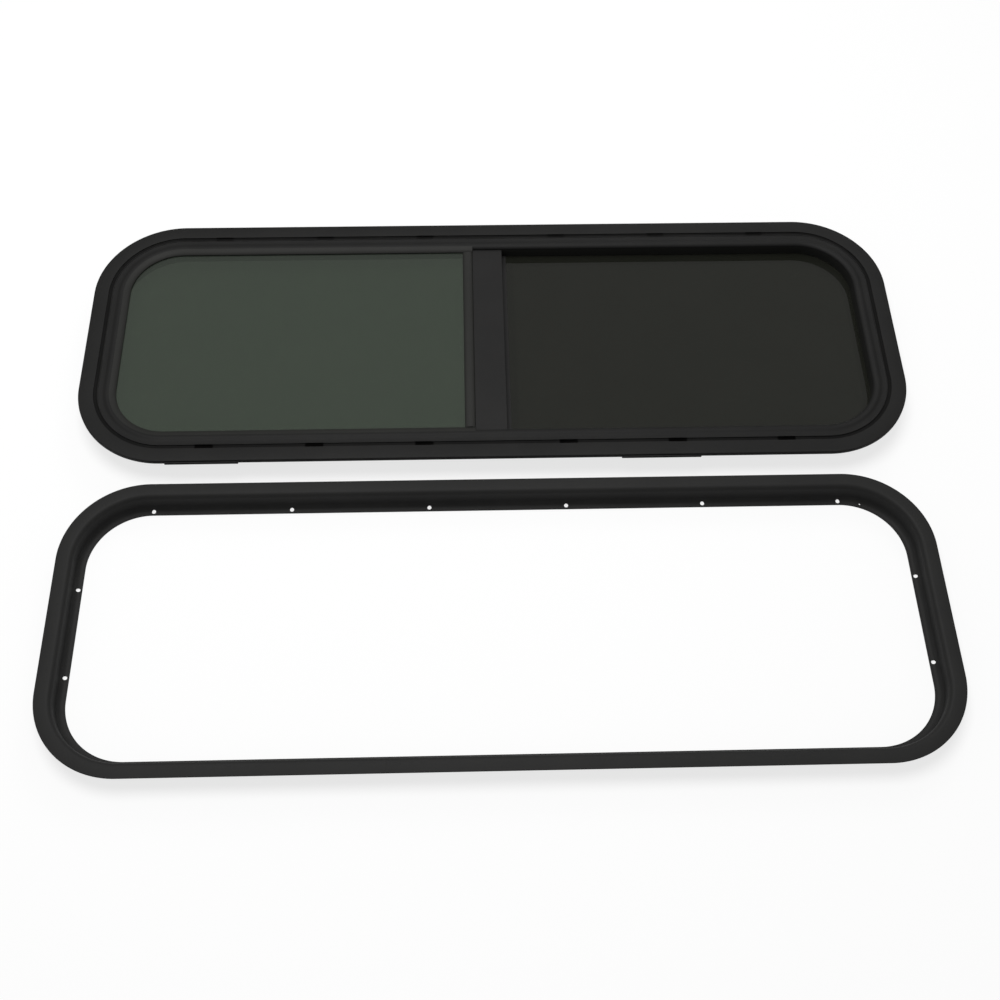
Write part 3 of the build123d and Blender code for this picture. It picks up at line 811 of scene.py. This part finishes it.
def gasket_section(sizes, glazing):
    """The fixed pane's U of rubber, with a wedge from the nose's round down to the pane."""
    low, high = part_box("fixed_glass_gasket")
    glass_low, glass_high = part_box("fixed_glass")
    back = low.x - FRAME_LOW.x
    glass_inset = glass_low.x - FRAME_LOW.x
    nose_inner = sizes.nose_inset + sizes.nose_width
    nose_bottom = FRAME_HIGH.z - sizes.nose_thickness
    lip_inner = back + 16.0 * MM
    under = glass_inset + 8.9 * MM
    gap = 0.05 * MM
    start = glazing.wedge_start
    start_height = nose_height(sizes, start) + gap
    edge_height = glass_high.z + glazing.wedge_edge
    behind = [nose_inner + (start - nose_inner) * step / 8 for step in range(1, 8)]
    along_nose = [(across, nose_height(sizes, across) + gap, 0.0) for across in behind]
    steps = 16
    first_slope = 0.2
    spread = lip_inner - start
    steepening = (start_height - edge_height - first_slope * spread) / spread**3
    top = []
    for step in range(steps + 1):
        reach = spread * step / steps
        top.append((start + reach, start_height - first_slope * reach - steepening * reach**3, 0.0))
    return rounded([
        (back, low.z, 0.4 * MM),
        (back, nose_bottom - gap, 0.2 * MM),
        (nose_inner + gap, nose_bottom - gap, 0.0),
        (nose_inner + gap, nose_bottom + sizes.nose_foot, 0.0),
        *along_nose,
        *top[:-1],
        (*top[-1][:2], 0.5 * MM),
        (lip_inner, glass_high.z + gap, 0.2 * MM),
        (glass_inset - gap, glass_high.z + gap, 0.1 * MM),
        (glass_inset - gap, glass_low.z - gap, 0.1 * MM),
        (under, glass_low.z - gap, 0.4 * MM),
        (under, low.z, 0.4 * MM),
    ])


def seal_section(wiping):
    """The vent's rubber: a block under the nose, with a wiper down to the sash pane where it wipes."""
    low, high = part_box("vent_seal")
    outer = 26.1 * MM
    inner = 38.0 * MM
    block_bottom = 19.3 * MM
    wiper_outer = inner - 2.6 * MM
    tip = low.z if wiping else block_bottom
    return rounded([
        (outer, block_bottom, 0.0),
        (outer, high.z, 0.3 * MM),
        (inner, high.z, 0.3 * MM),
        (inner, block_bottom + 3.0 * MM, 0.0),
        (inner, tip, 0.0),
        (wiper_outer, tip, 0.0),
        (wiper_outer, block_bottom, 0.0),
    ])


def bead_section():
    """The mullion's half-round bead, by X and height."""
    low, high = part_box("mullion_bead")
    steps = 24
    middle = (low.x + high.x) / 2
    half = (high.x - low.x) / 2
    foot = low.z + 0.5 * MM
    points = [(high.x, low.z, 0.0)]
    for step in range(steps + 1):
        angle = math.pi * step / steps
        points.append((middle + half * math.cos(angle), foot + (high.z - foot) * math.sin(angle), 0.0))
    points.append((low.x, low.z, 0.0))
    return points


# Operators, one for each group of pieces


class WindowOperator:
    """What the window's operators share."""

    bl_options = {"REGISTER", "UNDO"}

    @property
    def settings(self):
        return bpy.context.scene.sliding_window


class WINDOW_OT_stage(WindowOperator, bpy.types.Operator):
    """Sets the floor, the lamps, the white surroundings and the camera."""

    bl_idname = "window.stage"
    bl_label = "Stage"

    camera_glow = 0.75
    pane_glow = 0.25

    def execute(self, context):
        scene = context.scene
        scene.view_settings.view_transform = "Standard"
        self.add_floor()
        self.add_lamp("overhead", (-0.3, 0.5, 2.8), 1.8, 74.0)
        self.add_lamp("behind", (1.0, 3.0, 2.1), 1.2, 16.0)
        self.light_world(scene)
        self.add_camera(scene)
        return {"FINISHED"}

    def add_floor(self):
        shape = bmesh.new()
        bmesh.ops.create_grid(shape, x_segments=1, y_segments=1, size=6.0)
        floor = mesh_object("floor", shape)
        made, tree, shader = blank_material("studio_floor")
        shader.inputs["Base Color"].default_value = (*self.settings.colours.floor, 1)
        shader.inputs["Roughness"].default_value = 0.9
        glow = tree.nodes.new("ShaderNodeEmission")
        blend = tree.nodes.new("ShaderNodeMixShader")
        tree.links.new(self.glow_share(tree), blend.inputs[0])
        tree.links.new(shader.outputs[0], blend.inputs[1])
        tree.links.new(glow.outputs[0], blend.inputs[2])
        tree.links.new(blend.outputs[0], tree.nodes["Material Output"].inputs["Surface"])
        floor.data.materials.append(made)

    def glow_share(self, tree):
        """How much of the floor is plain white: most for the camera, some through the panes."""
        rays = tree.nodes.new("ShaderNodeLightPath")
        straight = multiply(tree, rays.outputs["Is Camera Ray"], self.camera_glow)
        through = multiply(tree, rays.outputs["Is Transmission Ray"], self.pane_glow)
        larger = tree.nodes.new("ShaderNodeMath")
        larger.operation = "MAXIMUM"
        tree.links.new(straight, larger.inputs[0])
        tree.links.new(through, larger.inputs[1])
        return larger.outputs["Value"]

    def add_lamp(self, name, spot, size, power):
        lamp = bpy.data.lights.new(name, "AREA")
        lamp.shape = "DISK"
        lamp.size = size
        lamp.energy = power
        made = bpy.data.objects.new(name, lamp)
        made.location = spot
        aim = Vector((0.0, 0.0, 0.0)) - Vector(spot)
        made.rotation_euler = aim.to_track_quat("-Z", "Y").to_euler()
        bpy.context.scene.collection.objects.link(made)

    def light_world(self, scene):
        world = bpy.data.worlds.new("studio")
        world.use_nodes = True
        tree = world.node_tree
        soft = tree.nodes["Background"]
        soft.inputs["Color"].default_value = (1.0, 1.0, 1.0, 1)
        soft.inputs["Strength"].default_value = 0.32
        white = tree.nodes.new("ShaderNodeBackground")
        blend = tree.nodes.new("ShaderNodeMixShader")
        rays = tree.nodes.new("ShaderNodeLightPath")
        tree.links.new(rays.outputs["Is Camera Ray"], blend.inputs[0])
        tree.links.new(soft.outputs[0], blend.inputs[1])
        tree.links.new(white.outputs[0], blend.inputs[2])
        tree.links.new(blend.outputs[0], tree.nodes["World Output"].inputs["Surface"])
        scene.world = world

    def add_camera(self, scene):
        data = bpy.data.cameras.new("photo_camera")
        data.sensor_width = SENSOR_WIDTH_MM
        data.lens = FOCAL_PIXELS / IMAGE_SIZE * SENSOR_WIDTH_MM
        made = bpy.data.objects.new("photo_camera", data)
        turn = (
            Matrix.Rotation(CAMERA_YAW, 4, "Z")
            @ Matrix.Rotation(math.pi / 2 - CAMERA_PITCH, 4, "X")
            @ Matrix.Rotation(CAMERA_ROLL, 4, "Z")
        )
        made.matrix_world = Matrix.Translation(CAMERA_PLACE) @ turn
        scene.collection.objects.link(made)
        scene.camera = made


class WINDOW_OT_frame(WindowOperator, bpy.types.Operator):
    """Sweeps the frame's section round the window, with its weep slots."""

    bl_idname = "window.frame"
    bl_label = "Frame"

    weep_places = (81.0, 204.0, 327.0)
    # Strength of the painted shade along the groove and in the far slots; near slots get it in full
    groove_painted_shade = 0.6
    far_slot_painted_shade = 0.75

    def execute(self, context):
        sizes = self.settings.frame
        places = [side * at * MM for at in self.weep_places for side in (-1, 1)]
        stations = loop_stations(WINDOW_OUTLINE, places, sizes.weep_length)
        sections = {"plain": frame_section(sizes, False), "slot": frame_section(sizes, True)}
        piece = loft("frame_extrusion", sweep_rows(stations, sections), closed=True)
        self.mark_painted_shade(piece, sizes, places)
        place(piece, "frame", "frame_finish", finish("frame_finish"), "outer_frame")
        return {"FINISHED"}

    def mark_painted_shade(self, piece, sizes, places):
        """Marks the floors of the drain groove and of its weep slots for painted shade: full in the near
        slots, less in the far slots and along the groove.
        """
        marks = piece.data.attributes.new("hollow", "FLOAT", "POINT")
        top = FRAME_HIGH.z - sizes.nose_rise
        slot_floor = top - sizes.groove_depth - 0.2 * MM
        for vert in piece.data.vertices:
            across = inset_of(WINDOW_OUTLINE, vert.co) - sizes.groove_inset - sizes.groove_width / 2
            if abs(across) > sizes.weep_width / 2 + TINY:
                continue
            if not top - sizes.flange + TINY < vert.co.z < top - sizes.groove_depth / 2:
                continue
            lower = vert.co.y < WINDOW_OUTLINE.middle
            along = min(abs(vert.co.x - at) for at in places)
            if vert.co.z < slot_floor and along < sizes.weep_length / 2 + TINY:
                marks.data[vert.index].value = 1.0 if lower else self.far_slot_painted_shade
            else:
                marks.data[vert.index].value = self.groove_painted_shade


class WINDOW_OT_fixed_glazing(WindowOperator, bpy.types.Operator):
    """Finishes the fixed pane and makes its gasket."""

    bl_idname = "window.fixed_glazing"
    bl_label = "Fixed Glazing"

    def execute(self, context):
        dress(soften_node("fixed_glass", 0.3 * MM), finish("fixed_pane"))
        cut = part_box("fixed_glass_gasket")[1].x
        stations = end_stations(WINDOW_OUTLINE, -1, cut)
        sections = {"plain": gasket_section(self.settings.frame, self.settings.glazing)}
        piece = loft("fixed_gasket", sweep_rows(stations, sections))
        place(piece, "frame", "glazing_rubber", finish("glazing_rubber"), "fixed_glass_gasket")
        return {"FINISHED"}


class WINDOW_OT_mullion(WindowOperator, bpy.types.Operator):
    """Finishes the mullion and its clips, and makes its bead and its pile."""

    bl_idname = "window.mullion"
    bl_label = "Mullion"

    def execute(self, context):
        dress(soften_node("mullion", 0.35 * MM), finish("mullion_finish"))
        for node in ("mullion_clip_upper", "mullion_clip_lower"):
            dress(soften_node(node, 0.4 * MM), finish("black_nylon"))
        low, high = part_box("mullion_bead")
        piece = loft("mullion_rubber", run_rows(bead_section(), low.y, high.y, 0.0))
        place(piece, "frame", "glazing_rubber", finish("glazing_rubber"), "mullion_bead")
        self.add_pile()
        return {"FINISHED"}

    def add_pile(self):
        """A backing strip with four rows of leaning tufts."""
        low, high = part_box("mullion_pile")
        pitch = self.settings.glazing.pile_pitch
        backing = high.z - 1.0 * MM
        draw = random.Random(7)
        shape = bmesh.new()
        section = rounded([
            (low.x, backing, 0.2 * MM),
            (high.x, backing, 0.2 * MM),
            (high.x, high.z, 0.2 * MM),
            (low.x, high.z, 0.2 * MM),
        ])
        loft_into(shape, run_rows(section, low.y, high.y, 0.0), False)
        count = int((high.y - low.y) / pitch)
        for row in range(4):
            x = low.x + (row + 0.5) * (high.x - low.x) / 4
            for step in range(count):
                y = low.y + (step + 0.5) * pitch
                drop = (backing - low.z) * draw.uniform(0.86, 0.995)
                spot = Matrix.Translation((x, y, backing - drop / 2))
                lean = Matrix.Rotation(draw.uniform(-0.12, 0.12), 4, "X")
                bmesh.ops.create_cone(
                    shape, cap_ends=True, segments=5, radius1=0.30 * MM, radius2=0.52 * MM, depth=drop,
                    matrix=spot @ lean,
                )
        bmesh.ops.recalc_face_normals(shape, faces=shape.faces)
        piece = mesh_object("mullion_brush", shape)
        place(piece, "frame", "pile", finish("pile"), "mullion_pile")


class WINDOW_OT_sash_channel(WindowOperator, bpy.types.Operator):
    """Finishes the channel's liners, stops and end seal, and makes the vent's seal."""

    bl_idname = "window.sash_channel"
    bl_label = "Sash Channel"

    def execute(self, context):
        for node in ("sash_track_upper", "sash_track_lower"):
            dress(soften_node(node, 0.15 * MM), finish("track_vinyl"))
        for node in ("sash_stop_upper", "sash_stop_lower"):
            dress(soften_node(node, 0.4 * MM), finish("black_nylon"))
        dress(soften_node("sash_end_seal", 0.6 * MM), finish("glazing_rubber"))
        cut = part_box("vent_seal")[0].x
        wiper_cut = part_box("sash_stile")[1].x + 0.3 * MM
        stations = end_stations(WINDOW_OUTLINE, 1, cut, wiper_cut)
        sections = {"plain": seal_section(False), "step": seal_section(True)}
        piece = loft("vent_rubber", sweep_rows(stations, sections))
        place(piece, "frame", "glazing_rubber", finish("glazing_rubber"), "vent_seal")
        return {"FINISHED"}


class WINDOW_OT_sash(WindowOperator, bpy.types.Operator):
    """Finishes the sliding pane, its stile and glides, and makes its pull."""

    bl_idname = "window.sash"
    bl_label = "Sash"

    def execute(self, context):
        dress(soften_node("sash_glass", 0.3 * MM), finish("sash_pane"))
        dress(soften_node("sash_stile", 0.2 * MM), finish("mullion_finish"))
        for level in ("upper", "lower"):
            for end in ("left", "right"):
                node = f"sash_glide_{level}_{end}"
                dress(soften_node(node, 0.35 * MM), finish("black_nylon"))
        self.add_pull()
        return {"FINISHED"}

    def add_pull(self):
        """A moulded finger pull with a scooped hollow on its indoor face."""
        low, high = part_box("sash_pull")
        middle_x, middle_y = (low.x + high.x) / 2, (low.y + high.y) / 2
        half_x, half_y = (high.x - low.x) / 2, (high.y - low.y) / 2
        levels = [(0.0, 3.0, high.z)]
        edge_round = 1.6 * MM
        for step in range(7):
            angle = math.pi / 2 * step / 6
            inset = edge_round * (1 - math.cos(angle))
            levels.append((inset, 3.0, low.z + edge_round * (1 - math.sin(angle))))
        rim = 4.2 * MM
        scoop_depth = 4.0 * MM
        for step in range(1, 9):
            angle = math.pi / 2 * step / 8
            inset = rim + 3.6 * MM * (1 - math.cos(angle))
            levels.append((inset, 3.0, low.z + scoop_depth * math.sin(angle)))
        rows = []
        for inset, radius, height in levels:
            corner = max(radius * MM - inset * 0.4, 1.0 * MM)
            rows.append(rounded_loop(middle_x, middle_y, half_x - inset, half_y - inset, corner, height))
        piece = loft("sash_finger_pull", rows)
        place(piece, "sash", "pull_plastic", finish("pull_plastic"), "sash_pull")


class WINDOW_OT_screen(WindowOperator, bpy.types.Operator):
    """Finishes the insect screen's frame and weaves its cloth."""

    bl_idname = "window.screen"
    bl_label = "Insect Screen"

    def execute(self, context):
        dress(soften_node("screen_frame", 0.5 * MM), finish("screen_frame_finish"))
        self.weave()
        return {"FINISHED"}

    def weave(self):
        """Yarns both ways, cut to the screen's outline."""
        low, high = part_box("screen_mesh")
        sizes = self.settings.glazing
        inset = FRAME_HIGH.x - high.x
        height = (low.z + high.z) / 2
        shape = bmesh.new()
        for x in self.yarn_places(low.x, high.x, sizes.yarn_pitch):
            reach = self.half_height(x, inset)
            one = Vector((x, WINDOW_OUTLINE.middle - reach, height + sizes.yarn / 4))
            other = Vector((x, WINDOW_OUTLINE.middle + reach, height + sizes.yarn / 4))
            self.add_yarn(shape, one, other, sizes.yarn / 2)
        for y in self.yarn_places(low.y, high.y, sizes.yarn_pitch):
            reach = self.right_end(y, inset)
            one = Vector((low.x, y, height - sizes.yarn / 4))
            other = Vector((reach, y, height - sizes.yarn / 4))
            self.add_yarn(shape, one, other, sizes.yarn / 2)
        bmesh.ops.recalc_face_normals(shape, faces=shape.faces)
        piece = mesh_object("screen_weave", shape)
        place(piece, "frame", "screen_cloth", finish("screen_cloth"), "screen_mesh")

    def yarn_places(self, start, end, pitch):
        count = int((end - start) / pitch)
        margin = ((end - start) - (count - 1) * pitch) / 2
        return [start + margin + pitch * step for step in range(count)]

    def half_height(self, x, inset):
        """Half the cloth's height at an X."""
        radius = FLANGE_RADIUS - inset
        straight = WINDOW_OUTLINE.width / 2 - FLANGE_RADIUS
        over = max(x - straight, 0.0)
        return WINDOW_OUTLINE.height / 2 - FLANGE_RADIUS + math.sqrt(max(radius**2 - over**2, 0.0))

    def right_end(self, y, inset):
        """The cloth's right end at a Y."""
        radius = FLANGE_RADIUS - inset
        straight = WINDOW_OUTLINE.height / 2 - FLANGE_RADIUS
        over = max(abs(y - WINDOW_OUTLINE.middle) - straight, 0.0)
        return WINDOW_OUTLINE.width / 2 - FLANGE_RADIUS + math.sqrt(max(radius**2 - over**2, 0.0))

    def add_yarn(self, shape, one, other, radius):
        """A straight six-sided yarn."""
        along = (other - one).normalized()
        side = along.cross(Vector((0, 0, 1)))
        up = Vector((0, 0, 1))
        ends = []
        for spot in (one, other):
            ring = []
            for step in range(6):
                angle = math.pi * step / 3
                ring.append(shape.verts.new(spot + (side * math.cos(angle) + up * math.sin(angle)) * radius))
            ends.append(ring)
        for k in range(6):
            j = (k + 1) % 6
            shape.faces.new((ends[0][k], ends[0][j], ends[1][j], ends[1][k]))
        shape.faces.new(ends[0][::-1])
        shape.faces.new(ends[1])


class WINDOW_OT_drip_covers(WindowOperator, bpy.types.Operator):
    """Finishes the two covers on the flange's lower edge."""

    bl_idname = "window.drip_covers"
    bl_label = "Drip Covers"

    def execute(self, context):
        for node in ("drip_cover_left", "drip_cover_right"):
            dress(soften_node(node, 0.45 * MM), finish("black_nylon"))
        return {"FINISHED"}


class WINDOW_OT_ring(WindowOperator, bpy.types.Operator):
    """Sweeps the clamp ring and drills its screw holes."""

    bl_idname = "window.ring"
    bl_label = "Clamp Ring"

    hole_columns = (76.2, 228.6, 381.0)
    pin_angle = math.radians(70.0)

    def execute(self, context):
        sizes = self.settings.ring
        stations = loop_stations(RING_OUTLINE)
        piece = loft("clamp_ring", sweep_rows(stations, {"plain": ring_section(sizes)}), closed=True)
        cut_holes(piece, self.holes(sizes), -1.0 * MM, 3.0 * MM)
        place(piece, "frame", "ring_finish", finish("ring_finish"), "trim_ring")
        return {"FINISHED"}

    def holes(self, sizes):
        row = RING_OUTLINE.height / 2 - sizes.hole_inset
        column = RING_OUTLINE.width / 2 - sizes.hole_inset
        spots = [(x * MM, row) for x in self.hole_columns] + [(column, sizes.side_row)]
        holes = []
        for x, y in spots:
            for across in (-1, 1):
                for along in (-1, 1):
                    holes.append(((across * x, RING_OUTLINE.middle + along * y), sizes.hole))
        reach = RING_RADIUS - sizes.hole_inset
        pin_x = RING_OUTLINE.width / 2 - RING_RADIUS + reach * math.cos(self.pin_angle)
        pin_y = RING_OUTLINE.height / 2 - RING_RADIUS + reach * math.sin(self.pin_angle)
        holes.append(((pin_x, RING_OUTLINE.middle + pin_y), sizes.pin_hole))
        return holes


PIECE_OPERATORS = (
    WINDOW_OT_frame,
    WINDOW_OT_fixed_glazing,
    WINDOW_OT_mullion,
    WINDOW_OT_sash_channel,
    WINDOW_OT_sash,
    WINDOW_OT_screen,
    WINDOW_OT_drip_covers,
    WINDOW_OT_ring,
    WINDOW_OT_stage,
)


class WINDOW_PT_tools(bpy.types.Panel):
    """Lists the window's tools."""

    bl_idname = "WINDOW_PT_tools"
    bl_label = "Sliding Window"
    bl_space_type = "VIEW_3D"
    bl_region_type = "UI"
    bl_category = "Window"

    def draw(self, context):
        for operator in PIECE_OPERATORS:
            self.layout.operator(operator.bl_idname)


CLASSES = (
    FrameSizes,
    RingSizes,
    GlazingSizes,
    FinishColours,
    WindowSettings,
    *PIECE_OPERATORS,
    WINDOW_PT_tools,
)


def register():
    for made in CLASSES:
        bpy.utils.register_class(made)
    bpy.types.Scene.sliding_window = PointerProperty(type=WindowSettings)


def unregister():
    del bpy.types.Scene.sliding_window
    for made in reversed(CLASSES):
        bpy.utils.unregister_class(made)


def main():
    register()
    bpy.ops.window.frame()
    bpy.ops.window.fixed_glazing()
    bpy.ops.window.mullion()
    bpy.ops.window.sash_channel()
    bpy.ops.window.sash()
    bpy.ops.window.screen()
    bpy.ops.window.drip_covers()
    bpy.ops.window.ring()
    bpy.ops.window.stage()


if __name__ == "__main__":
    main()
